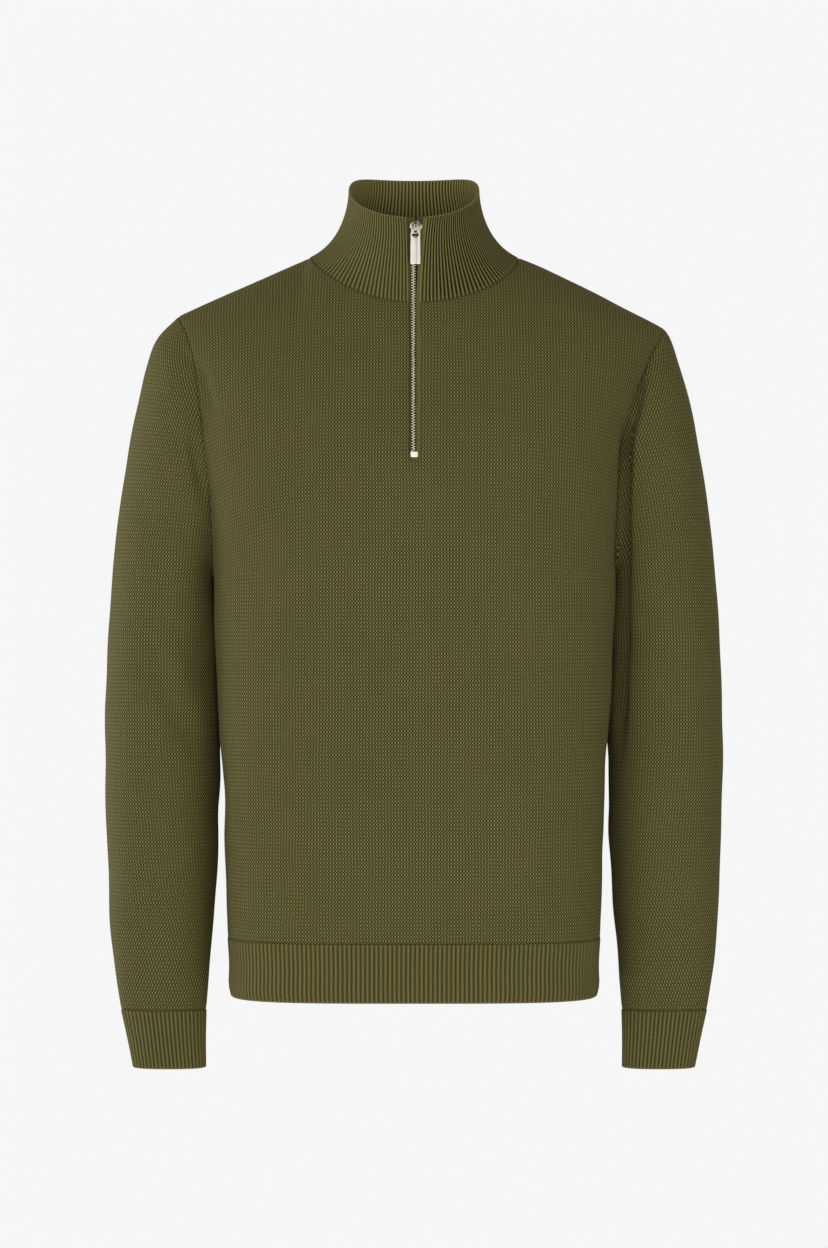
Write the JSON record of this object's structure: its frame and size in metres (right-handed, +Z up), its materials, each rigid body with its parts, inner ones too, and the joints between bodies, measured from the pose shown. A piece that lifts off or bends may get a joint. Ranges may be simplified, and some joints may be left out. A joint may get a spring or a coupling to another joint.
{
  "type": "quarter zip sweater",
  "caption": "Olive fine-knit pullover with a ribbed stand collar, a short metal front zip with a swinging pull tab, long sleeves, ribbed hem and ribbed cuffs.",
  "frame": {"origin": "between the shoulders, at the level of the high shoulder points, where a wearer's shoulders carry the garment", "axes": "+Z up; the front faces -Y; the wearer's right sleeve is on -X and the left on +X"},
  "size_m": [0.5572, 0.2317, 0.8032],
  "materials": {
    "knit": "matte tuck-stitch knit",
    "rib": "matte rib knit",
    "tape": "matte woven tape",
    "zip_metal": "polished silver-coloured metal",
    "tab_metal": "satin silver-coloured metal"
  },
  "bodies": {
    "garment": {"front": "knit", "back": "knit", "sleeve_right": "knit", "sleeve_left": "knit", "collar": "rib", "hem_rib": "rib", "cuff_right": "rib", "cuff_left": "rib", "zip_tape_right": "tape", "zip_tape_left": "tape", "zip_chain": "zip_metal", "zip_stop": "zip_metal", "zip_slider": "zip_metal"},
    "tab": {"pull_tab": "tab_metal"}
  },
  "joints": [
    {"name": "tab_swing", "type": "hinge", "parent": "garment", "child": "tab", "pos_m": [0.0013, -0.0635, 0.019], "axis": [-1, 0, 0], "range_deg": [0, 175]}
  ]
}
